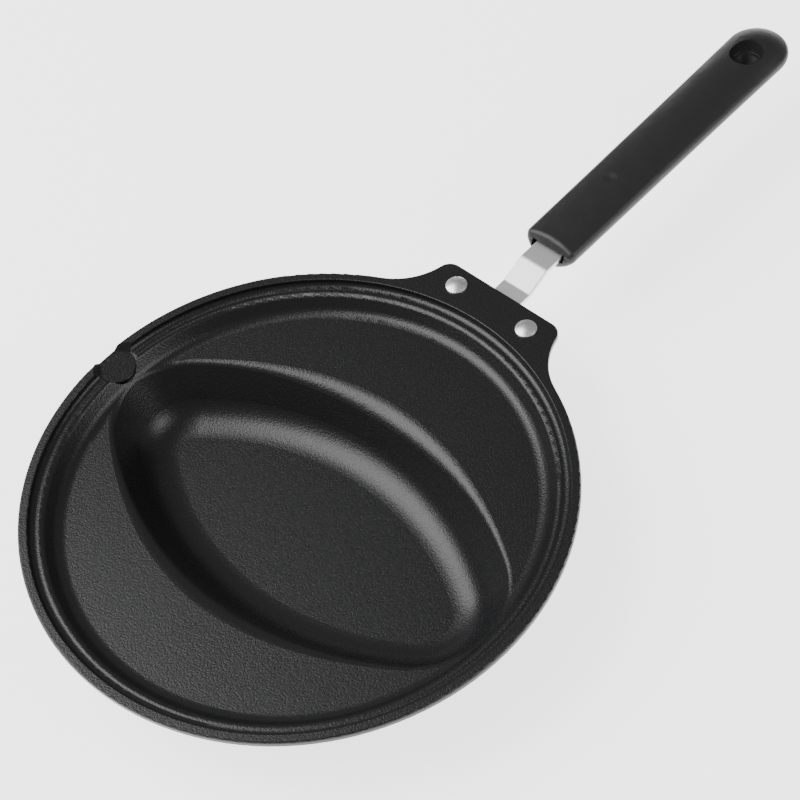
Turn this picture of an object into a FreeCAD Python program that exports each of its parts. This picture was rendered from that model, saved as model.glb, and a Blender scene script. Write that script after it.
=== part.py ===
"""Omelette pan: a cast pan with an eye-shaped well, a riveted strap bracket and a moulded grip.

Millimetres. +Z is up, +X runs along the handle, and the origin lies on the standing plane
under the centre of the round rim. Heights are worked out from the rim's top face downwards.
"""
import FreeCAD
import Part
import Sketcher
import os
import re
from FreeCAD import Vector
from math import atan2, hypot, pi, radians, tan

doc = FreeCAD.newDocument("omelette_pan")

# Driving sizes of the cast pan, in millimetres and degrees
PAN_SIZES = {
    "rim_radius": 120.0,
    "rim_edge_height": 2.6,
    "rim_edge_round": 0.8,
    "band_width": 4.2,
    "band_drop": 4.0,
    "band_edge_round": 0.5,
    "land_width": 5.6,
    "land_rise": 0.8,
    "dish_depth": 10.7,
    "wall_slope": 54.0,
    "wall_foot_round": 6.2,
    "lip_round": 2.6,
    "step_round": 2.9,
    "casting_wall": 3.0,
    "flange_skirt": 5.0,
    "underside_round": 5.0,
    "well_along": 0.5,
    "well_across": -1.5,
    "well_half_width": 57.9,
    "well_notch_reach": 105.8,
    "well_notch_tip": 33.2,
    "well_plain_reach": 103.0,
    "well_plain_tip": 39.0,
    "well_depth": 24.0,
    "well_slope": 58.5,
    "well_bottom_round": 18.2,
    "well_lip_middle_round": 10.6,
    "well_lip_tip_round": 3.0,
    "leg_reach": 68.0,
    "leg_spread": 45.0,
    "leg_radius": 4.5,
    "leg_draft": 4.0,
}

# Driving sizes of the handle's ear, the vent notch and the rivets
EAR_SIZES = {
    "ear_reach": 15.0,
    "ear_half_edge": 27.7,
    "ear_corner": 6.5,
    "ear_sweep": 32.0,
    "ear_wall": 2.7,
    "notch_mouth": 9.0,
    "notch_width": 18.0,
    "notch_length": 15.0,
    "notch_drop": 2.4,
    "notch_fall": 12.0,
    "notch_wall": 4.0,
    "notch_inset": 0.9,
    "notch_draft": 48.0,
    "notch_edge_round": 0.8,
    "rivet_set_back": 9.6,
    "rivet_spacing": 41.0,
    "rivet_shank": 5.0,
    "rivet_head": 9.8,
    "rivet_head_edge": 0.6,
    "rivet_head_height": 2.0,
    "rivet_tail": 8.4,
    "rivet_tail_height": 1.6,
    "rivet_clearance": 0.1,
}

# Driving sizes of the strap bracket, the grip and what fastens them
HANDLE_SIZES = {
    "strap_width": 15.2,
    "strap_wall": 2.2,
    "strap_rise": 5.0,
    "strap_bend": 2.0,
    "strap_edge_round": 0.4,
    "plate_inset": 1.4,
    "plate_half_length": 26.5,
    "plate_corner": 3.0,
    "plate_gap": 0.4,
    "ramp_start": 7.6,
    "ramp_run": 12.4,
    "grip_gap": 30.0,
    "grip_length": 169.0,
    "grip_front_half": 13.9,
    "grip_middle_half": 14.5,
    "grip_end_half": 15.3,
    "grip_front_crown": 4.4,
    "grip_middle_crown": 5.4,
    "grip_end_crown": 6.9,
    "grip_front_belly": 9.0,
    "grip_middle_belly": 9.8,
    "grip_end_belly": 7.6,
    "grip_crown_round": 3.0,
    "grip_belly_round": 5.5,
    "grip_front_rake": 28.0,
    "grip_front_round": 3.0,
    "parting_rise": 0.9,
    "hole_set_back": 23.0,
    "hole_mouth": 8.4,
    "hole_throat": 7.6,
    "hole_waist": 6.4,
    "hole_waist_drop": 1.6,
    "hole_eye": 3.2,
    "hole_land": 2.0,
    "hole_flare": 4.2,
    "tang_length": 62.0,
    "slot_clearance": 0.2,
    "mouth_depth": 5.0,
    "mouth_height": 1.6,
    "screw_set_back": 20.0,
    "screw_shank": 4.8,
    "screw_head": 8.6,
    "screw_head_height": 2.8,
    "screw_length": 8.0,
    "screw_clearance": 0.3,
    "screw_seat_wall": 2.4,
    "screw_cross_width": 1.2,
    "screw_cross_length": 5.0,
    "screw_cross_depth": 1.5,
    "insert_outside": 8.0,
    "insert_height": 3.6,
}

GROUPS = (PAN_SIZES, EAR_SIZES, HANDLE_SIZES)
NAMES = [name for group in GROUPS for name in group]

# Heights above the standing plane, as formulas of the sizes
DISH_FLOOR = "(well_depth + casting_wall)"
RIM_TOP = f"({DISH_FLOOR} + dish_depth)"
LAND_TOP = f"({RIM_TOP} - band_drop)"
LIP_TOP = f"({LAND_TOP} + land_rise)"
LAND_UNDERSIDE = f"({LAND_TOP} - casting_wall)"
PLATE_TOP = f"({RIM_TOP} - ear_wall)"
STRAP_TOP = f"({PLATE_TOP} + strap_rise)"
STRAP_UNDERSIDE = f"({STRAP_TOP} - strap_wall)"
PARTING = f"({STRAP_TOP} + parting_rise)"
SLOT_TOP = f"({STRAP_TOP} + slot_clearance)"
SCREW_SEAT = f"({STRAP_UNDERSIDE} - screw_seat_wall)"

# Distances along the handle, in the same way
EAR_EDGE = "(rim_radius + ear_reach)"
RIVET_LINE = f"({EAR_EDGE} - rivet_set_back)"
RAMP_FOOT = f"({EAR_EDGE} + ramp_start)"
RAMP_HEAD = f"({RAMP_FOOT} + ramp_run)"
GRIP_FRONT = f"({EAR_EDGE} + grip_gap)"
GRIP_TIP = f"({GRIP_FRONT} + grip_length)"
GRIP_SHOULDER = f"({GRIP_TIP} - grip_end_half)"
HOLE_CENTRE = f"({GRIP_TIP} - hole_set_back)"
TANG_END = f"({GRIP_FRONT} + tang_length)"
SCREW_LINE = f"({TANG_END} - screw_set_back)"


def make_sheet():
    """Write every driving size into one spreadsheet, an aliased cell each."""
    sheet = doc.addObject("Spreadsheet::Sheet", "Sizes")
    row = 1
    for group in GROUPS:
        for name, number in group.items():
            sheet.set(f"A{row}", name)
            sheet.set(f"B{row}", str(number))
            sheet.setAlias(f"B{row}", name)
            row += 1
    doc.recompute()


make_sheet()
probe = doc.addObject("App::VarSet", "Probe")
probe.addProperty("App::PropertyFloat", "answer")


def bound(formula):
    """Turn a formula of size names into an expression on the sheet's cells."""
    return re.sub(
        r"[a-z_]+",
        lambda word: f"Sizes.{word.group()}" if word.group() in NAMES else word.group(),
        formula,
    )


def value(formula):
    """Work out a formula of size names as a plain number."""
    probe.setExpression("answer", bound(formula))
    probe.recompute()
    return probe.answer


def new_body(label):
    body = doc.addObject("PartDesign::Body", label)
    body.Label = label
    return body


def origin_feature(body, role):
    """Give one of a body's own origin planes or axes by its role."""
    return next(item for item in body.Origin.OriginFeatures if item.Role == role)


def new_sketch(body, name, plane, along="0", across="0", lift="0", tilt=None):
    """Attach a sketch to one of the body's origin planes, shifted and tilted by formulas."""
    sketch = body.newObject("Sketcher::SketchObject", name)
    sketch.AttachmentSupport = [(origin_feature(body, plane), "")]
    sketch.MapMode = "FlatFace"
    for axis, formula in (("x", along), ("y", across), ("z", lift)):
        if formula != "0":
            sketch.setExpression(f"AttachmentOffset.Base.{axis}", bound(formula))
    if tilt:
        sketch.AttachmentOffset = FreeCAD.Placement(Vector(), Vector(1, 0, 0), value(tilt))
        sketch.setExpression("AttachmentOffset.Rotation.Angle", bound(tilt))
    return sketch


# A sketch's own axes, as its constraints count them: the level one, the upright one and their start
AXES = {"level": -1, "upright": -2}
ORIGIN = (AXES["level"], 1)


def constrain(sketch, kind, *parts, formula=None):
    """Add one constraint, bound to a formula when it carries a size."""
    if formula is None:
        sketch.addConstraint(Sketcher.Constraint(kind, *parts))
        return
    index = sketch.addConstraint(Sketcher.Constraint(kind, *parts, value(formula)))
    sketch.setExpression(f"Constraints[{index}]", bound(formula))


def place_point(sketch, point, across, up):
    """Hold a point of a sketch at two distances from the sketch's origin."""
    for kind, formula, axis in (("DistanceX", across, AXES["upright"]), ("DistanceY", up, AXES["level"])):
        number = value(formula)
        if formula == "0":
            constrain(sketch, "PointOnObject", *point, axis)
        elif number > 0:
            constrain(sketch, kind, *ORIGIN, *point, formula=formula)
        else:
            constrain(sketch, kind, *point, *ORIGIN, formula=f"-({formula})")


def polygon(sketch, corners):
    """Draw a closed outline of straight lines with each corner placed by formulas."""
    spots = [Vector(value(across), value(up), 0) for across, up in corners]
    count = len(spots)
    first = sketch.GeometryCount
    for index, spot in enumerate(spots):
        sketch.addGeometry(Part.LineSegment(spot, spots[(index + 1) % count]), False)
    for index in range(count):
        following = first + (index + 1) % count
        constrain(sketch, "Coincident", first + index, 2, following, 1)
    for index, (across, up) in enumerate(corners):
        place_point(sketch, (first + index, 1), across, up)


def round_corner(sketch, line, radius):
    """Round the corner of an outline at the end of one line, and keep the corner's own point."""
    sketch.fillet(line, 2, value(radius), True, True)
    arcs = [index for index, item in enumerate(sketch.Geometry) if isinstance(item, Part.ArcOfCircle)]
    constrain(sketch, "Radius", arcs[-1], formula=radius)


def circle(sketch, across, up, radius):
    """Draw a circle placed and sized by formulas."""
    centre = Vector(value(across), value(up), 0)
    index = sketch.addGeometry(Part.Circle(centre, Vector(0, 0, 1), value(radius)), False)
    constrain(sketch, "Radius", index, formula=radius)
    place_point(sketch, (index, 3), across, up)


def add_arc(sketch, centre, radius, start, end):
    """Add an arc that turns anticlockwise between two angles in radians."""
    full = Part.Circle(centre, Vector(0, 0, 1), radius)
    return sketch.addGeometry(Part.ArcOfCircle(full, start, end), False)


def feature(body, kind, name, profile=None, **settings):
    """Add a feature to a body; text settings are formulas, the rest are plain settings."""
    item = body.newObject(f"PartDesign::{kind}", name)
    if profile is not None:
        item.Profile = profile
        profile.Visibility = False
    for setting, content in settings.items():
        if isinstance(content, str) and setting in ("Length", "TaperAngle", "Angle", "Radius"):
            setattr(item, setting, value(content))
            item.setExpression(setting, bound(content))
        else:
            setattr(item, setting, content)
    doc.recompute()
    return item


def volume_changes(item, sign):
    """Stop if a feature added or removed nothing."""
    before = item.BaseFeature.Shape.Volume if item.BaseFeature else 0.0
    change = item.Shape.Volume - before
    if change * sign <= 0:
        raise RuntimeError(f"{item.Label} changed the volume by {change:.3f}")


def edges_where(shape, test):
    """Name the edges of a shape that pass a test on the edge."""
    return [f"Edge{index + 1}" for index, edge in enumerate(shape.Edges) if test(edge)]


def is_level(edge, height, reach=1e-4):
    """Say whether an edge lies flat at one height."""
    box = edge.BoundBox
    return abs(box.ZMin - height) < reach and abs(box.ZMax - height) < reach


def is_ring(edge, radius, height):
    """Say whether an edge is part of a level circle round the pan's own axis."""
    if not is_level(edge, height, 1e-3) or not isinstance(edge.Curve, Part.Circle):
        return False
    centre = edge.Curve.Center
    return abs(edge.Curve.Radius - radius) < 1e-3 and hypot(centre.x, centre.y) < 1e-3


def fillet(body, name, radius, test):
    """Round the edges of a body's tip that pass a test."""
    base = body.Tip
    names = edges_where(base.Shape, test)
    if not names:
        raise RuntimeError(f"no edge found for {name}")
    return feature(body, "Fillet", name, Base=(base, names), Radius=radius)


def eye_outline(sketch, inset):
    """Draw the well's outline: at each end, two side arcs that run into the arc of its tip."""
    half_width = f"(well_half_width - {inset})"
    sides = {}
    for end, way in (("notch", 1), ("plain", -1)):
        tip_radius = f"(well_{end}_tip - {inset})"
        tip_centre = f"(well_{end}_reach - well_{end}_tip)"
        side_radius = (
            f"(({half_width} * {half_width} + {tip_centre} * {tip_centre} - {tip_radius} * {tip_radius})"
            f" / (2 * ({half_width} - {tip_radius})))"
        )
        side_centre = f"({side_radius} - {half_width})"
        turn = atan2(value(tip_centre), value(side_centre))
        spans = ((0, turn), (turn, pi - turn), (pi - turn, pi))
        if way < 0:
            spans = ((-turn, 0), (pi + turn, 2 * pi - turn), (pi, pi + turn))
        right = add_arc(sketch, Vector(-value(side_centre), 0, 0), value(side_radius), *spans[0])
        tip = add_arc(sketch, Vector(0, way * value(tip_centre), 0), value(tip_radius), *spans[1])
        left = add_arc(sketch, Vector(value(side_centre), 0, 0), value(side_radius), *spans[2])
        for first, second in ((right, tip), (tip, left))[::way]:
            first, second = (first, second)[::way]
            constrain(sketch, "Tangent", first, 2, second, 1)
        constrain(sketch, "Radius", tip, formula=tip_radius)
        place_point(sketch, (tip, 3), "0", f"({way} * {tip_centre})")
        for side in (right, left):
            constrain(sketch, "PointOnObject", side, 3, AXES["level"])
        if way > 0:
            constrain(sketch, "DistanceX", right, 3, *ORIGIN, formula=side_centre)
            constrain(sketch, "DistanceX", *ORIGIN, left, 3, formula=side_centre)
        sides[end] = (right, left)
    for upper, lower, upper_end in zip(sides["notch"], sides["plain"], (1, 2)):
        constrain(sketch, "Coincident", upper, upper_end, lower, 3 - upper_end)
        constrain(sketch, "PointOnObject", upper, upper_end, AXES["level"])


def ear_outline(sketch):
    """Draw the ear: a straight edge, two corners and two sweeps that meet the rim circle."""
    corner_across = f"({EAR_EDGE} - ear_corner)"
    corner = Vector(value(corner_across), value("ear_half_edge"), 0)
    reach = value("rim_radius + ear_sweep")
    span = value("ear_corner + ear_sweep")
    distance = corner.Length
    lean = (reach ** 2 + distance ** 2 - span ** 2) / (2 * distance)
    offset = (reach ** 2 - lean ** 2) ** 0.5
    outward = Vector(corner.x / distance, corner.y / distance, 0)
    sweep = outward * lean + Vector(-outward.y, outward.x, 0) * offset
    rim_point = sweep * (value("rim_radius") / reach)
    joint = corner + (sweep - corner) * (value("ear_corner") / span)

    edge = sketch.addGeometry(Part.LineSegment(
        Vector(value(EAR_EDGE), -corner.y, 0), Vector(value(EAR_EDGE), corner.y, 0)), False)
    constrain(sketch, "Vertical", edge)
    place_point(sketch, (edge, 1), EAR_EDGE, "(-1 * ear_half_edge)")
    constrain(sketch, "DistanceY", *ORIGIN, edge, 2, formula="ear_half_edge")
    for side in (1, -1):
        centre = Vector(corner.x, corner.y * side, 0)
        sweep_centre = Vector(sweep.x, sweep.y * side, 0)
        joint_point = Vector(joint.x, joint.y * side, 0)
        foot = Vector(rim_point.x, rim_point.y * side, 0)
        joint_turn = atan2(joint_point.y - centre.y, joint_point.x - centre.x)
        start, end = (0, joint_turn) if side > 0 else (joint_turn, 0)
        round_arc = add_arc(sketch, centre, value("ear_corner"), start, end)
        near = atan2(joint_point.y - sweep_centre.y, joint_point.x - sweep_centre.x)
        far = atan2(foot.y - sweep_centre.y, foot.x - sweep_centre.x)
        start, end = (far, near) if side > 0 else (near, far)
        sweep_arc = add_arc(sketch, sweep_centre, value("ear_sweep"), start, end)
        spoke = sketch.addGeometry(Part.LineSegment(Vector(), foot), False)
        near_end, far_end = (1, 2) if side > 0 else (2, 1)
        constrain(sketch, "Tangent", edge, 2 if side > 0 else 1, round_arc, near_end)
        constrain(sketch, "Tangent", round_arc, far_end, sweep_arc, far_end)
        constrain(sketch, "Perpendicular", sweep_arc, near_end, spoke, 2)
        constrain(sketch, "Coincident", *ORIGIN, spoke, 1)
        constrain(sketch, "Radius", round_arc, formula="ear_corner")
        constrain(sketch, "Radius", sweep_arc, formula="ear_sweep")
        constrain(sketch, "Distance", spoke, formula="rim_radius")


def notch_outline(sketch, reach):
    """Draw the vent notch: it narrows to the rim and beyond, and ends in a half circle in the pan."""
    half = "(notch_width / 2)"
    centre_up = f"({half} - notch_length)"
    narrowing = f"((notch_width - notch_mouth) / 2 / (notch_length - {half}))"
    mouth = f"(notch_mouth / 2 - {reach} * {narrowing})"
    polyline = (
        (f"(-1 * {half})", centre_up),
        (f"(-1 * {mouth})", reach),
        (mouth, reach),
        (half, centre_up),
    )
    spots = [Vector(value(across), value(up), 0) for across, up in polyline]
    lines = [sketch.addGeometry(Part.LineSegment(spots[index], spots[index + 1]), False)
             for index in range(3)]
    arc = add_arc(sketch, Vector(0, value(centre_up), 0), value(half), pi, 2 * pi)
    constrain(sketch, "Coincident", lines[0], 2, lines[1], 1)
    constrain(sketch, "Coincident", lines[1], 2, lines[2], 1)
    constrain(sketch, "Coincident", lines[2], 2, arc, 2)
    constrain(sketch, "Coincident", arc, 1, lines[0], 1)
    place_point(sketch, (lines[1], 1), *polyline[1])
    place_point(sketch, (lines[1], 2), *polyline[2])
    place_point(sketch, (arc, 3), "0", centre_up)
    constrain(sketch, "Radius", arc, formula=half)
    constrain(sketch, "Horizontal", arc, 1, arc, 3)
    constrain(sketch, "Horizontal", arc, 3, arc, 2)


def make_pan_body():
    """Cast the pan: a stepped dish with the well, the ear, the vent notch and four short legs."""
    body = new_body("pan_casting")
    lip = "(rim_radius - band_width - land_width)"
    wall_run = "(1 / tan(wall_slope))"
    wall_line = f"({lip} - land_rise * {wall_run})"
    outer_line = f"({wall_line} + casting_wall / sin(wall_slope))"
    wall_top = f"({outer_line} - casting_wall * {wall_run})"
    wall_foot = f"({outer_line} - (dish_depth - band_drop + casting_wall) * {wall_run})"
    dish_foot = f"({wall_line} - (dish_depth - band_drop) * {wall_run})"

    profile = new_sketch(body, "DishOutside", "XZ_Plane")
    polygon(profile, (
        ("0", RIM_TOP),
        ("rim_radius", RIM_TOP),
        ("rim_radius", f"({RIM_TOP} - rim_edge_height)"),
        ("(rim_radius - flange_skirt)", LAND_UNDERSIDE),
        (wall_top, LAND_UNDERSIDE),
        (wall_foot, "well_depth"),
        ("0", "well_depth"),
    ))
    dish = feature(body, "Revolution", "Dish", profile, ReferenceAxis=(profile, ["V_Axis"]), Angle=360.0)
    volume_changes(dish, 1)
    fillet(body, "Underside", "underside_round",
           lambda edge: is_ring(edge, value(wall_foot), value("well_depth")))

    # The well's outside, drafted like its inside and one casting wall away from it
    slope_run = "(1 / tan(well_slope))"
    outer_inset = f"((well_depth + casting_wall) * {slope_run} - casting_wall / sin(well_slope))"
    profile = new_sketch(body, "WellOutsideOutline", "XY_Plane", along="well_along", across="well_across")
    eye_outline(profile, outer_inset)
    well = feature(body, "Pad", "WellOutside", profile, Length=f"({LAND_UNDERSIDE} + 1)",
                   TaperAngle="(90 - well_slope)")
    volume_changes(well, 1)
    fillet(body, "WellOutsideRound", "(well_bottom_round + casting_wall)", lambda edge: is_level(edge, 0))

    profile = new_sketch(body, "EarOutline", "XY_Plane", lift=RIM_TOP)
    ear_outline(profile)
    volume_changes(feature(body, "Pad", "Ear", profile, Length="ear_wall", Reversed=True), 1)
    fillet(body, "RimEdge", "rim_edge_round",
           lambda edge: is_level(edge, value(RIM_TOP)) and edge.Length > 1)

    profile = new_sketch(body, "LegOutline", "XY_Plane")
    for along in (1, -1):
        for across in (1, -1):
            circle(profile, f"({along} * leg_reach)", f"({across} * leg_spread)", "leg_radius")
    legs = feature(body, "Pad", "Legs", profile, Length=f"({DISH_FLOOR} - casting_wall / 2)",
                   TaperAngle="leg_draft")
    volume_changes(legs, 1)

    # The hollow of the dish, with the step behind the rim's band
    profile = new_sketch(body, "DishInside", "XZ_Plane")
    band = "(rim_radius - band_width)"
    polygon(profile, (
        ("0", f"({RIM_TOP} + 1)"),
        (band, f"({RIM_TOP} + 1)"),
        (band, LAND_TOP),
        (lip, LIP_TOP),
        (dish_foot, DISH_FLOOR),
        ("0", DISH_FLOOR),
    ))
    for line, radius in ((1, "step_round"), (2, "lip_round"), (3, "wall_foot_round")):
        round_corner(profile, line, radius)
    hollow = feature(body, "Groove", "DishHollow", profile, ReferenceAxis=(profile, ["V_Axis"]), Angle=360.0)
    volume_changes(hollow, -1)
    fillet(body, "BandEdge", "band_edge_round", lambda edge: is_ring(edge, value(band), value(RIM_TOP)))

    # The vent notch runs down a short shelf from the rim's edge to the dish's wall
    profile = new_sketch(body, "NotchShelfOutline", "XY_Plane", across="rim_radius",
                         lift=f"({RIM_TOP} - notch_drop)", tilt="notch_fall")
    notch_outline(profile, "(-1 * notch_inset)")
    shelf = feature(body, "Pad", "NotchShelf", profile, Length="notch_wall", Reversed=True)
    volume_changes(shelf, 1)

    # The well, drafted outwards from its flat bottom
    profile = new_sketch(body, "WellBottomOutline", "XY_Plane", along="well_along", across="well_across",
                         lift="casting_wall")
    eye_outline(profile, f"(well_depth * {slope_run})")
    hollow = feature(body, "Pocket", "WellHollow", profile, Length="(well_depth + dish_depth / 3)",
                     TaperAngle="(90 - well_slope)", Reversed=True)
    volume_changes(hollow, -1)
    fillet(body, "WellBottom", "well_bottom_round", lambda edge: is_level(edge, value("casting_wall")))

    profile = new_sketch(body, "NotchOutline", "XY_Plane", across="rim_radius",
                         lift=f"({RIM_TOP} - notch_drop)", tilt="notch_fall")
    notch_outline(profile, "notch_inset")
    notch = feature(body, "Pocket", "Notch", profile, Length="(2 * notch_drop)", TaperAngle="notch_draft",
                    Reversed=True)
    volume_changes(notch, -1)

    def on_shelf_end(edge):
        box = edge.BoundBox
        above_wall = box.ZMin > value(DISH_FLOOR) + value("dish_depth / 3")
        at_end = box.YMin > value("rim_radius - notch_length") - 1e-3 and box.YMax < value(lip)
        return at_end and above_wall and abs(box.XMax + box.XMin) < 1 and box.XLength > value("notch_mouth")

    fillet(body, "ShelfEnd", "notch_edge_round", on_shelf_end)

    profile = new_sketch(body, "RivetHoleOutline", "XY_Plane", lift=RIM_TOP)
    for across in (1, -1):
        circle(profile, RIVET_LINE, f"({across} * rivet_spacing / 2)", "(rivet_shank / 2 + rivet_clearance)")
    volume_changes(feature(body, "Pocket", "RivetHoles", profile, Length="(2 * ear_wall)"), -1)

    # The well's lip, widest at the middle of each side and tight at the tips
    rounded = doc.addObject("Part::Fillet", "pan_body")
    rounded.Label = "pan_body"
    rounded.Base = body
    centre = Vector(value("well_along"), value("well_across"), value(DISH_FLOOR))
    half_width = Vector(value("well_half_width"), 0, 0)
    lip_edges = []
    for number, edge in enumerate(body.Shape.Edges, start=1):
        start, end = [
            min((edge.valueAt(parameter) - centre - side * half_width).Length for side in (1, -1)) < 1e-3
            for parameter in (edge.FirstParameter, edge.LastParameter)]
        if is_level(edge, centre.z, 1e-3) and start != end:
            rounds = (value("well_lip_middle_round"), value("well_lip_tip_round"))
            lip_edges.append((number, *(rounds if start else rounds[::-1])))
    rounded.Edges = lip_edges
    doc.recompute()
    if len(lip_edges) != 4 or rounded.Shape.Volume >= body.Shape.Volume:
        raise RuntimeError("the well's lip was not rounded")
    return rounded


def revolved(body, name, corners, kind="Revolution", at="0"):
    """Turn a closed outline of straight lines round an upright axis."""
    profile = new_sketch(body, f"{name}Outline", "XZ_Plane", along=at)
    polygon(profile, corners)
    item = feature(body, kind, name, profile, ReferenceAxis=(profile, ["V_Axis"]), Angle=360.0)
    volume_changes(item, 1 if kind == "Revolution" else -1)
    return item


def dome(body, name, radius, base, edge, height, upward=True):
    """Add a domed cap: a short straight edge and a shallow arc that closes at the middle."""
    way = 1 if upward else -1
    profile = new_sketch(body, f"{name}Outline", "XZ_Plane")
    rise = f"({height} - {edge})"
    arc_radius = f"(({radius} * {radius} + {rise} * {rise}) / (2 * {rise}))"
    centre_up = f"({base} + {way} * ({height} - {arc_radius}))"
    corners = (("0", f"({base} + {way} * {height})"), ("0", base), (radius, base),
               (radius, f"({base} + {way} * {edge})"))
    spots = [Vector(value(across), value(up), 0) for across, up in corners]
    lines = [profile.addGeometry(Part.LineSegment(spots[index], spots[index + 1]), False)
             for index in range(3)]
    centre = Vector(0, value(centre_up), 0)
    lean = atan2(spots[3].y - centre.y, spots[3].x)
    ends = (lean, pi / 2) if upward else (-pi / 2, lean)
    arc = add_arc(profile, centre, value(arc_radius), *ends)
    shoulder, peak = (1, 2) if upward else (2, 1)
    constrain(profile, "Coincident", lines[0], 2, lines[1], 1)
    constrain(profile, "Coincident", lines[1], 2, lines[2], 1)
    constrain(profile, "Coincident", lines[2], 2, arc, shoulder)
    constrain(profile, "Coincident", arc, peak, lines[0], 1)
    for index in (1, 2):
        place_point(profile, (lines[index], 1), *corners[index])
    place_point(profile, (lines[2], 2), *corners[3])
    constrain(profile, "PointOnObject", arc, peak, AXES["upright"])
    place_point(profile, (arc, 3), "0", centre_up)
    item = feature(body, "Revolution", name, profile, ReferenceAxis=(profile, ["V_Axis"]), Angle=360.0)
    volume_changes(item, 1)


def make_rivet(label, side):
    """Make one rivet: a domed head on the ear, a shank and a low formed tail under the plate."""
    body = new_body(label)
    tail_seat = "(-1 * (ear_wall + strap_wall))"
    revolved(body, "Shank", (
        ("0", "(rivet_head_edge / 2)"),
        ("(rivet_shank / 2)", "(rivet_head_edge / 2)"),
        ("(rivet_shank / 2)", f"({tail_seat} - rivet_head_edge / 2)"),
        ("0", f"({tail_seat} - rivet_head_edge / 2)"),
    ))
    dome(body, "Head", "(rivet_head / 2)", "0", "rivet_head_edge", "rivet_head_height")
    dome(body, "Tail", "(rivet_tail / 2)", tail_seat, "rivet_head_edge", "rivet_tail_height", upward=False)
    body.setExpression("Placement.Base.x", bound(RIVET_LINE))
    body.setExpression("Placement.Base.y", bound(f"({side} * rivet_spacing / 2)"))
    body.setExpression("Placement.Base.z", bound(RIM_TOP))
    return body


def make_handle_bracket():
    """Bend the bracket from one strip: a plate under the ear, a short ramp and a tang in the grip."""
    body = new_body("handle_bracket")
    plate_front = f"({EAR_EDGE} - plate_inset)"
    plate_back = "(rim_radius + plate_gap)"
    bend_shift = "(strap_wall * tan(atan2(strap_rise; ramp_run) / 2))"
    profile = new_sketch(body, "StrapOutline", "XZ_Plane")
    polygon(profile, (
        (plate_back, PLATE_TOP),
        (RAMP_FOOT, PLATE_TOP),
        (RAMP_HEAD, STRAP_TOP),
        (TANG_END, STRAP_TOP),
        (TANG_END, STRAP_UNDERSIDE),
        (f"({RAMP_HEAD} + {bend_shift})", STRAP_UNDERSIDE),
        (f"({RAMP_FOOT} + {bend_shift})", f"({PLATE_TOP} - strap_wall)"),
        (plate_back, f"({PLATE_TOP} - strap_wall)"),
    ))
    strap = feature(body, "Pad", "Strap", profile, Length="strap_width", Midplane=True)
    volume_changes(strap, 1)

    def bend_edge(along, height):
        def test(edge):
            box = edge.BoundBox
            return (abs(box.XMin - value(along)) < 1e-4 and abs(box.XMax - value(along)) < 1e-4
                    and abs(box.ZMin - value(height)) < 1e-4 and box.YLength > 1)
        return test

    fillet(body, "FootInside", "strap_bend", bend_edge(RAMP_FOOT, PLATE_TOP))
    fillet(body, "FootOutside", "(strap_bend + strap_wall)",
           bend_edge(f"({RAMP_FOOT} + {bend_shift})", f"({PLATE_TOP} - strap_wall)"))
    fillet(body, "HeadOutside", "(strap_bend + strap_wall)", bend_edge(RAMP_HEAD, STRAP_TOP))
    fillet(body, "HeadInside", "strap_bend", bend_edge(f"({RAMP_HEAD} + {bend_shift})", STRAP_UNDERSIDE))

    profile = new_sketch(body, "PlateOutline", "XY_Plane", lift=PLATE_TOP)
    polygon(profile, (
        (plate_back, "(-1 * plate_half_length)"),
        (plate_front, "(-1 * plate_half_length)"),
        (plate_front, "plate_half_length"),
        (plate_back, "plate_half_length"),
    ))
    volume_changes(feature(body, "Pad", "Plate", profile, Length="strap_wall", Reversed=True), 1)

    def is_upright_corner(edge):
        box = edge.BoundBox
        at_plate = abs(abs(edge.CenterOfMass.y) - value("plate_half_length")) < 1e-3
        at_tang = abs(edge.CenterOfMass.x - value(TANG_END)) < 1e-3
        return box.ZLength > 1 and box.DiagonalLength < 1.01 * box.ZLength and (at_plate or at_tang)

    fillet(body, "Corners", "plate_corner", is_upright_corner)

    def is_long_edge(edge):
        box = edge.BoundBox
        at_side = abs(abs(box.YMin) - value("strap_width / 2")) < 1e-4 and box.YLength < 1e-4 < box.XLength
        return at_side and box.XMin > value(plate_front) - 1e-3

    fillet(body, "StrapEdges", "strap_edge_round", is_long_edge)

    profile = new_sketch(body, "FastenerHoleOutline", "XY_Plane", lift=f"({STRAP_TOP} + 1)")
    for across in (1, -1):
        circle(profile, RIVET_LINE, f"({across} * rivet_spacing / 2)", "(rivet_shank / 2 + rivet_clearance)")
    circle(profile, SCREW_LINE, "0", "(screw_shank / 2 + screw_clearance)")
    volume_changes(feature(body, "Pocket", "FastenerHoles", profile, Length="(3 * strap_rise)"), -1)
    return body


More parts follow.
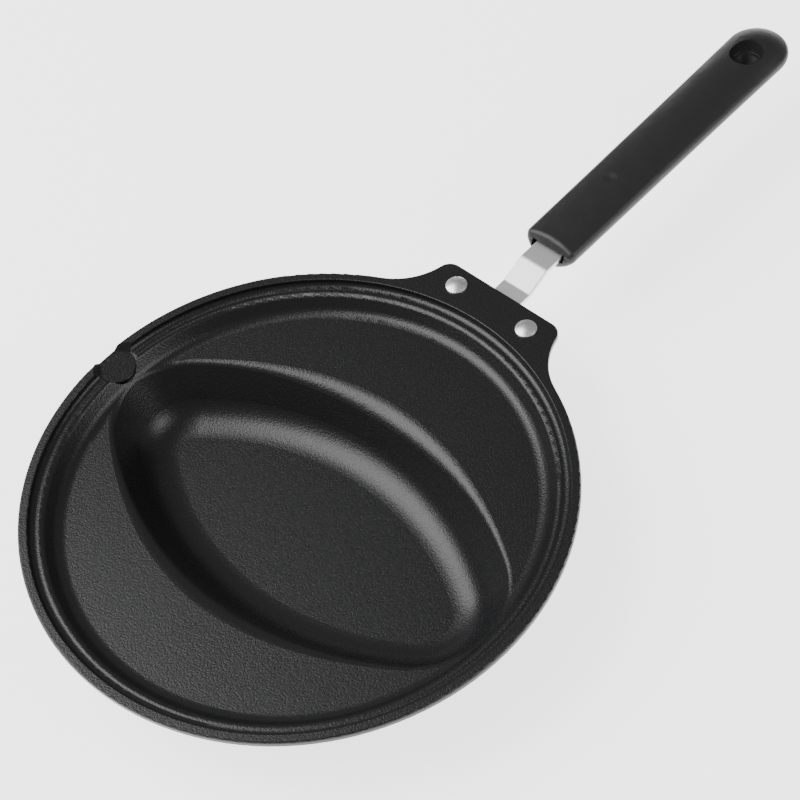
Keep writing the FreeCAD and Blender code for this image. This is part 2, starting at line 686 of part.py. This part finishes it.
def grip_section(sketch, half, crown, belly, whole=True):
    """Draw a section of the grip: a crown and a belly arc joined by rounder corners at the sides."""
    upper, lower = "grip_crown_round", "grip_belly_round"
    arcs = {}
    sides = (1, -1) if whole else (1,)
    for name, corner, height, way in (("crown", upper, crown, 1), ("belly", lower, belly, -1)):
        reach = f"({half} - {corner})"
        squares = f"({reach} * {reach} + {height} * {height} - {corner} * {corner})"
        big = f"({squares} / (2 * ({height} - {corner})))"
        centre = Vector(0, way * value(f"({height} - {big})"), 0)
        lean = atan2(-centre.y * way, value(reach))
        if way > 0:
            arcs[name] = add_arc(sketch, centre, value(big), lean, pi - lean if whole else pi / 2)
        else:
            start = pi + lean if whole else 3 * pi / 2
            arcs[name] = add_arc(sketch, centre, value(big), start, 2 * pi - lean)
        for side in sides:
            corner_centre = Vector(side * value(reach), 0, 0)
            start, end = (0, lean) if side > 0 else (pi - lean, pi)
            if way < 0:
                start, end = (2 * pi - lean, 2 * pi) if side > 0 else (pi, pi + lean)
            arc = add_arc(sketch, corner_centre, value(corner), start, end)
            arcs[name, side] = arc
            constrain(sketch, "Radius", arc, formula=corner)
            side_end, big_end = (1, 2) if side * way > 0 else (2, 1)
            if way > 0:
                place_point(sketch, (arc, 3), f"({side} * {reach})", "0")
                constrain(sketch, "PointOnObject", arc, side_end, AXES["level"])
            else:
                constrain(sketch, "PointOnObject", arc, 3, AXES["level"])
                constrain(sketch, "Coincident", arc, side_end, arcs["crown", side], big_end)
            constrain(sketch, "Tangent", arc, big_end, arcs[name], side_end)
        peak_centre = f"({big} - {height})"
        if way > 0:
            constrain(sketch, "DistanceY", arcs[name], 3, *ORIGIN, formula=peak_centre)
        else:
            constrain(sketch, "DistanceY", *ORIGIN, arcs[name], 3, formula=peak_centre)
        if not whole:
            constrain(sketch, "PointOnObject", arcs[name], 3, AXES["upright"])
    if not whole:
        top = Vector(0, value(crown), 0)
        bottom = Vector(0, -value(belly), 0)
        line = sketch.addGeometry(Part.LineSegment(top, bottom), False)
        constrain(sketch, "Coincident", arcs["crown"], 2, line, 1)
        constrain(sketch, "Coincident", line, 2, arcs["belly"], 1)
        constrain(sketch, "PointOnObject", line, 1, AXES["upright"])
        constrain(sketch, "PointOnObject", line, 2, AXES["upright"])


def make_handle_grip():
    """Mould the grip: a flat oval bar with a round end, a raked front, a strap slot and a hanging hole."""
    body = new_body("handle_grip")
    middle = f"(({GRIP_FRONT} + {GRIP_SHOULDER}) / 2)"
    sections = (
        (f"({GRIP_FRONT} - grip_front_belly)", "grip_front_half", "grip_front_crown", "grip_front_belly"),
        (middle, "grip_middle_half", "grip_middle_crown", "grip_middle_belly"),
        (GRIP_SHOULDER, "grip_end_half", "grip_end_crown", "grip_end_belly"),
    )
    sketches = []
    for number, (along, half, crown, belly) in enumerate(sections):
        sketch = new_sketch(body, f"Section{number + 1}", "YZ_Plane", across=PARTING, lift=along)
        grip_section(sketch, half, crown, belly)
        sketches.append(sketch)
    doc.recompute()
    bar = feature(body, "AdditiveLoft", "Bar", sketches[0], Sections=sketches[1:], Ruled=False)
    volume_changes(bar, 1)

    profile = new_sketch(body, "EndOutline", "YZ_Plane", across=PARTING, lift=GRIP_SHOULDER)
    grip_section(profile, "grip_end_half", "grip_end_crown", "grip_end_belly", whole=False)
    end = feature(body, "Revolution", "RoundEnd", profile, ReferenceAxis=(profile, ["V_Axis"]),
                  Angle=180.0, Reversed=True)
    volume_changes(end, 1)

    # The front face leans forwards from the belly to the crown
    clear = "(2 * grip_front_belly)"
    lean = f"({clear} * tan(grip_front_rake))"
    profile = new_sketch(body, "FrontOutline", "XZ_Plane")
    polygon(profile, (
        (f"({GRIP_FRONT} - {clear})", f"({PARTING} - {clear})"),
        (f"({GRIP_FRONT} - {lean})", f"({PARTING} - {clear})"),
        (f"({GRIP_FRONT} + {lean})", f"({PARTING} + {clear})"),
        (f"({GRIP_FRONT} - {clear})", f"({PARTING} + {clear})"),
    ))
    front = feature(body, "Pocket", "Front", profile, Length="(4 * grip_front_half)", Midplane=True)
    volume_changes(front, -1)

    def on_front(edge):
        lean_run = tan(radians(value("grip_front_rake")))
        ends = [edge.valueAt(edge.FirstParameter), edge.valueAt(edge.LastParameter)]
        reaches = [end.x - value(GRIP_FRONT) - (end.z - value(PARTING)) * lean_run for end in ends]
        return max(abs(reach) for reach in reaches) < 1e-3

    fillet(body, "FrontRound", "grip_front_round", on_front)

    profile = new_sketch(body, "SlotOutline", "XZ_Plane")
    slot_start = f"({GRIP_FRONT} - {clear})"
    polygon(profile, (
        (slot_start, STRAP_UNDERSIDE),
        (f"({TANG_END} + slot_clearance)", STRAP_UNDERSIDE),
        (f"({TANG_END} + slot_clearance)", SLOT_TOP),
        (slot_start, SLOT_TOP),
    ))
    slot = feature(body, "Pocket", "StrapSlot", profile, Length="(strap_width + 2 * slot_clearance)",
                   Midplane=True)
    volume_changes(slot, -1)
    profile = new_sketch(body, "MouthOutline", "XZ_Plane")
    polygon(profile, (
        (slot_start, STRAP_UNDERSIDE),
        (f"({GRIP_FRONT} + mouth_depth)", STRAP_UNDERSIDE),
        (f"({GRIP_FRONT} + mouth_depth)", f"({STRAP_TOP} + mouth_height)"),
        (slot_start, f"({STRAP_TOP} + mouth_height)"),
    ))
    mouth = feature(body, "Pocket", "SlotMouth", profile, Length="(strap_width + 2 * mouth_height)",
                    Midplane=True)
    volume_changes(mouth, -1)

    # The hanging hole narrows from a flared mouth to a waist, and in a funnel to an eye in the belly
    revolved(body, "HangingHole", (
        ("0", f"({PARTING} + {clear})"),
        ("hole_mouth", f"({PARTING} + {clear})"),
        ("hole_mouth", f"({PARTING} + grip_end_crown)"),
        ("hole_throat", f"({PARTING} + hole_flare)"),
        ("hole_waist", f"({PARTING} - hole_waist_drop)"),
        ("hole_eye", f"({PARTING} - grip_end_belly + hole_land)"),
        ("hole_eye", f"({PARTING} - {clear})"),
        ("0", f"({PARTING} - {clear})"),
    ), kind="Groove", at=HOLE_CENTRE)

    head_room = "(screw_head / 2 + screw_clearance)"
    revolved(body, "ScrewBore", (
        ("0", f"({PARTING} - {clear})"),
        (head_room, f"({PARTING} - {clear})"),
        (head_room, SCREW_SEAT),
        ("(screw_shank / 2 + screw_clearance)", SCREW_SEAT),
        ("(screw_shank / 2 + screw_clearance)", STRAP_TOP),
        ("(insert_outside / 2)", STRAP_TOP),
        ("(insert_outside / 2)", f"({STRAP_TOP} + insert_height)"),
        ("0", f"({STRAP_TOP} + insert_height)"),
    ), kind="Groove", at=SCREW_LINE)
    return body


def make_grip_screw():
    """Turn the screw that comes up from the belly: a domed head with a cross recess and its shank."""
    body = new_body("grip_screw")
    revolved(body, "Shank", (
        ("0", "0"),
        ("(screw_shank / 2)", "0"),
        ("(screw_shank / 2)", "screw_length"),
        ("0", "screw_length"),
    ))
    dome(body, "Head", "(screw_head / 2)", "0", "(screw_head_height / 2)", "screw_head_height", upward=False)
    profile = new_sketch(body, "CrossOutline", "XY_Plane", lift="(-1 * screw_head_height)")
    cross_half, arm = "(screw_cross_width / 2)", "(screw_cross_length / 2)"
    corners = (
        (arm, cross_half), (cross_half, cross_half), (cross_half, arm),
        (f"(-1 * {cross_half})", arm), (f"(-1 * {cross_half})", cross_half), (f"(-1 * {arm})", cross_half),
        (f"(-1 * {arm})", f"(-1 * {cross_half})"), (f"(-1 * {cross_half})", f"(-1 * {cross_half})"),
        (f"(-1 * {cross_half})", f"(-1 * {arm})"), (cross_half, f"(-1 * {arm})"),
        (cross_half, f"(-1 * {cross_half})"), (arm, f"(-1 * {cross_half})"),
    )
    polygon(profile, corners)
    cross = feature(body, "Pocket", "Cross", profile, Length="screw_cross_depth", Reversed=True)
    volume_changes(cross, -1)
    body.setExpression("Placement.Base.x", bound(SCREW_LINE))
    body.setExpression("Placement.Base.z", bound(SCREW_SEAT))
    return body


def make_grip_insert():
    """Turn the brass insert that is moulded into the grip above the tang."""
    body = new_body("grip_insert")
    revolved(body, "Ring", (
        ("(screw_shank / 2)", "0"),
        ("(insert_outside / 2)", "0"),
        ("(insert_outside / 2)", "insert_height"),
        ("(screw_shank / 2)", "insert_height"),
    ))
    body.setExpression("Placement.Base.x", bound(SCREW_LINE))
    body.setExpression("Placement.Base.z", bound(STRAP_TOP))
    return body


def check(pieces):
    """Stop if any object of the document failed or a piece's shape can't be used."""
    for item in doc.Objects:
        if {"Invalid", "Error"} & set(item.State):
            raise RuntimeError(f"{item.Label} has failed: {item.State}")
    for piece in pieces:
        shape = piece.Shape
        if shape.isNull() or not shape.isValid() or len(shape.Solids) != 1:
            raise RuntimeError(f"{piece.Label} has no single valid solid")


pieces = [
    make_pan_body(),
    make_rivet("rivet_left", 1),
    make_rivet("rivet_right", -1),
    make_handle_bracket(),
    make_handle_grip(),
    make_grip_screw(),
    make_grip_insert(),
]
doc.removeObject(probe.Name)
doc.recompute()
check(pieces)
os.makedirs("parts", exist_ok=True)
for piece in pieces:
    piece.Shape.exportStep(f"parts/{piece.Label}.step")
    box = piece.Shape.optimalBoundingBox()
    print(piece.Label, round(piece.Shape.Volume), box)
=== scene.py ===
"""Omelette pan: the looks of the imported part, its studio light and the camera of the photograph."""
import bpy
from math import cos, radians, sin
from mathutils import Matrix, Vector

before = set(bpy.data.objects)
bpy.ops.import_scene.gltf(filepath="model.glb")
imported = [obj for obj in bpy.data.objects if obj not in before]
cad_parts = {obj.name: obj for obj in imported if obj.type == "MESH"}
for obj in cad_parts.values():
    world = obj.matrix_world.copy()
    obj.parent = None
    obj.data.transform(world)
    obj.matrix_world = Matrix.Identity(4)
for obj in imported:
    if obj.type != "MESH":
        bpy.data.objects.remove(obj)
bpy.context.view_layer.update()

# The pan is one aluminium casting with a dark grey non-stick coat, sprayed on and baked.
# The coat is satin and grainy, with small lighter specks that glint where the light falls.
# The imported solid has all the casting's rounds, so it stays and only takes its finish.
coat_colour = (0.0095, 0.0095, 0.0105, 1.0)
coat_fleck_colour = (0.017, 0.017, 0.0185, 1.0)
coat_fleck_size = 0.0009
coat_fleck_span = (0.55, 0.75)
coat_roughness = (0.23, 0.35)
coat_grain_size = 0.0008
coat_grain_depth = 0.00014


def material_on_object(name):
    """Start a material: its node tree, its shader and the object coordinates that patterns read."""
    material = bpy.data.materials.new(name)
    material.use_nodes = True
    tree = material.node_tree
    shader = tree.nodes["Principled BSDF"]
    place = tree.nodes.new("ShaderNodeTexCoord").outputs["Object"]
    return material, tree, shader, place


def noise_of_size(tree, place, size, detail=2.0):
    """Add a noise whose grains are about as large as the size given in metres."""
    noise = tree.nodes.new("ShaderNodeTexNoise")
    noise.inputs["Scale"].default_value = 1.0 / size
    noise.inputs["Detail"].default_value = detail
    tree.links.new(place, noise.inputs["Vector"])
    return noise.outputs["Fac"]


def ramp_between(tree, factor, low, high, start, end):
    """Turn a factor into a colour or a number that runs from one value to another."""
    ramp = tree.nodes.new("ShaderNodeMapRange")
    ramp.inputs["From Min"].default_value = start
    ramp.inputs["From Max"].default_value = end
    if isinstance(low, tuple):
        ramp.data_type = "FLOAT_VECTOR"
        for socket, content in (("From_Min_FLOAT3", (start,) * 3), ("From_Max_FLOAT3", (end,) * 3),
                                ("To_Min_FLOAT3", low[:3]), ("To_Max_FLOAT3", high[:3])):
            next(item for item in ramp.inputs if item.identifier == socket).default_value = content
        tree.links.new(factor, next(item for item in ramp.inputs if item.identifier == "Vector"))
        return next(item for item in ramp.outputs if item.identifier == "Vector")
    ramp.inputs["To Min"].default_value = low
    ramp.inputs["To Max"].default_value = high
    tree.links.new(factor, ramp.inputs["Value"])
    return ramp.outputs["Result"]


def roughen(tree, shader, grain, limits):
    """Let the roughness follow a grain between two limits; most of a noise lies in this span."""
    grain_span = (0.3, 0.7)
    tree.links.new(ramp_between(tree, grain, *limits, *grain_span), shader.inputs["Roughness"])


def raise_relief(tree, shader, reliefs):
    """Stack bumps on a shader; each has a height and the distance in metres that it runs over."""
    normal = None
    for height, distance in reliefs:
        bump = tree.nodes.new("ShaderNodeBump")
        bump.inputs["Distance"].default_value = distance
        tree.links.new(height, bump.inputs["Height"])
        if normal is not None:
            tree.links.new(normal, bump.inputs["Normal"])
        normal = bump.outputs["Normal"]
    tree.links.new(normal, shader.inputs["Normal"])


coat, coat_tree, coat_shader, coat_place = material_on_object("pan_coat")
coat_fleck = noise_of_size(coat_tree, coat_place, coat_fleck_size, detail=3.0)
coat_tree.links.new(
    ramp_between(coat_tree, coat_fleck, coat_colour, coat_fleck_colour, *coat_fleck_span),
    coat_shader.inputs["Base Color"],
)
coat_grain = noise_of_size(coat_tree, coat_place, coat_grain_size, detail=3.0)
roughen(coat_tree, coat_shader, coat_grain, coat_roughness)
raise_relief(coat_tree, coat_shader, ((coat_grain, coat_grain_depth),))
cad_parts["pan_body"].material_slots[0].material = coat

# The two rivets are turned from aluminium, with domed heads that keep a satin brushed skin.
# Their low tails are formed under the bracket's plate.
rivet_colour = (0.80, 0.80, 0.80, 1.0)
rivet_grain_size = 0.0007
rivet_grain_depth = 0.00004
rivet_roughness = (0.30, 0.50)


def metal(name, colour, grain_size, roughness, grain_depth=None):
    """Make a metal whose roughness follows a fine grain, with relief where a depth is given."""
    material, tree, shader, place = material_on_object(name)
    shader.inputs["Base Color"].default_value = colour
    shader.inputs["Metallic"].default_value = 1.0
    grain = noise_of_size(tree, place, grain_size)
    roughen(tree, shader, grain, roughness)
    if grain_depth is not None:
        raise_relief(tree, shader, ((grain, grain_depth),))
    return material


rivet = metal("rivet_satin", rivet_colour, rivet_grain_size, rivet_roughness, rivet_grain_depth)
for name in ("rivet_left", "rivet_right"):
    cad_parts[name].material_slots[0].material = rivet

# The bracket is pressed from one strip of stainless steel, with a plate under the ear.
# Its faces are ground, so they give back the light of the room softly. The screw is of the same steel.
steel_colour = (0.80, 0.80, 0.805, 1.0)
steel_grain_size = 0.0004
steel_roughness = (0.42, 0.52)
steel = metal("bracket_steel", steel_colour, steel_grain_size, steel_roughness)
for name in ("handle_bracket", "grip_screw"):
    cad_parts[name].material_slots[0].material = steel

# The insert is a brass ring that the plastic was moulded around.
# Only a section would show it.
brass_colour = (0.72, 0.52, 0.24, 1.0)
brass_grain_size = 0.0004
brass_roughness = (0.25, 0.40)
brass = metal("insert_brass", brass_colour, brass_grain_size, brass_roughness)
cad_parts["grip_insert"].material_slots[0].material = brass

# The grip is a bar of black heat-proof plastic, moulded in two half tools that left a fine
# raised line at its widest place. Its satin skin is a little wavy, and a shallow sink mark lies
# in the crown over the thick plastic that holds the insert.
plastic_colour = (0.016, 0.016, 0.017, 1.0)
plastic_roughness = (0.38, 0.48)
plastic_grain_size = 0.0005
plastic_grain_depth = 0.00003
plastic_wave_size = 0.011
plastic_wave_depth = 0.0005
parting_height = 0.0409
parting_half_width = 0.0003
parting_depth = 0.0002
sink_centre = (0.2115, 0.0018, 0.0)
sink_reach = 0.0034
sink_depth = 0.0005

plastic, plastic_tree, plastic_shader, plastic_place = material_on_object("grip_plastic")
plastic_shader.inputs["Base Color"].default_value = plastic_colour
plastic_grain = noise_of_size(plastic_tree, plastic_place, plastic_grain_size)
roughen(plastic_tree, plastic_shader, plastic_grain, plastic_roughness)
plastic_waves = noise_of_size(plastic_tree, plastic_place, plastic_wave_size)


def math_node(tree, operation, factor, number=0.0):
    """Add one sum on a factor and a number."""
    node = tree.nodes.new("ShaderNodeMath")
    node.operation = operation
    node.inputs[1].default_value = number
    tree.links.new(factor, node.inputs[0])
    return node.outputs[0]


def vector_node(tree, operation, vector, other):
    """Add one sum on a vector and three numbers."""
    node = tree.nodes.new("ShaderNodeVectorMath")
    node.operation = operation
    node.inputs[1].default_value = other
    tree.links.new(vector, node.inputs[0])
    return node.outputs


plastic_axes = plastic_tree.nodes.new("ShaderNodeSeparateXYZ")
plastic_tree.links.new(plastic_place, plastic_axes.inputs["Vector"])
above_parting = math_node(plastic_tree, "SUBTRACT", plastic_axes.outputs["Z"], parting_height)
off_parting = math_node(plastic_tree, "ABSOLUTE", above_parting)
parting_ridge = ramp_between(plastic_tree, off_parting, 1.0, 0.0, 0.0, parting_half_width)
in_plan = vector_node(plastic_tree, "MULTIPLY", plastic_place, (1.0, 1.0, 0.0))["Vector"]
off_sink = vector_node(plastic_tree, "DISTANCE", in_plan, sink_centre)["Value"]
sink_mark = ramp_between(plastic_tree, off_sink, 0.0, 1.0, 0.0, sink_reach)
raise_relief(plastic_tree, plastic_shader, (
    (parting_ridge, parting_depth),
    (sink_mark, sink_depth),
    (plastic_waves, plastic_wave_depth),
    (plastic_grain, plastic_grain_depth),
))
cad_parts["handle_grip"].material_slots[0].material = plastic

# The pan stands on a plain pale floor that gives a little light of its own, so that it stays
# white around the dark pan.
floor_width = 12.0
paper_colour = (0.92, 0.92, 0.92, 1.0)
paper_roughness = 0.9
paper_glow = 2.4
bpy.ops.mesh.primitive_plane_add(size=floor_width)
floor = bpy.context.object
floor.name = "floor"
paper = bpy.data.materials.new("pale_paper")
paper.use_nodes = True
paper_shader = paper.node_tree.nodes["Principled BSDF"]
paper_shader.inputs["Base Color"].default_value = paper_colour
paper_shader.inputs["Roughness"].default_value = paper_roughness
paper_shader.inputs["Emission Color"].default_value = (1.0, 1.0, 1.0, 1.0)
paper_shader.inputs["Emission Strength"].default_value = paper_glow
floor.data.materials.append(paper)

# A large soft light stands high on the handle's left and a smaller, weaker one low on its right.
# The room itself is dim and even.
room_strength = 0.25
light_distance = 1.8
world = bpy.data.worlds.new("studio")
bpy.context.scene.world = world
world.use_nodes = True
world.node_tree.nodes["Background"].inputs["Color"].default_value = (1.0, 1.0, 1.0, 1.0)
world.node_tree.nodes["Background"].inputs["Strength"].default_value = room_strength


def soft_light(name, direction, size, power):
    """Hang a square soft light so that it faces the pan from the given direction."""
    data = bpy.data.lights.new(name, "AREA")
    data.shape = "SQUARE"
    data.size = size
    data.energy = power
    light = bpy.data.objects.new(name, data)
    bpy.context.collection.objects.link(light)
    way = Vector(direction).normalized()
    light.location = way * light_distance
    light.rotation_euler = (-way).to_track_quat("-Z", "Y").to_euler()
    return light


soft_light("key", direction=(-0.360, 0.530, 0.768), size=1.6, power=46.0)
soft_light("near_right", direction=(0.34, -0.76, 0.55), size=0.9, power=9.0)

# The camera looks down on the pan from the side away from the handle, and is rolled a little,
# as in the photograph.
view_point = Vector((0.06225, -0.0026, 0.0377))
view_distance = 0.9738
view_azimuth = radians(50.44)
view_drop = radians(52.56)
view_roll = radians(-10.12)
lens = 101.25
sensor_width = 36.0
look = Vector((cos(view_azimuth) * cos(view_drop), sin(view_azimuth) * cos(view_drop), -sin(view_drop)))
camera_data = bpy.data.cameras.new("camera")
camera_data.lens = lens
camera_data.sensor_width = sensor_width
camera = bpy.data.objects.new("camera", camera_data)
bpy.context.collection.objects.link(camera)
turn = look.to_track_quat("-Z", "Y").to_matrix().to_4x4() @ Matrix.Rotation(view_roll, 4, "Z")
camera.matrix_world = Matrix.Translation(view_point - look * view_distance) @ turn
bpy.context.scene.camera = camera
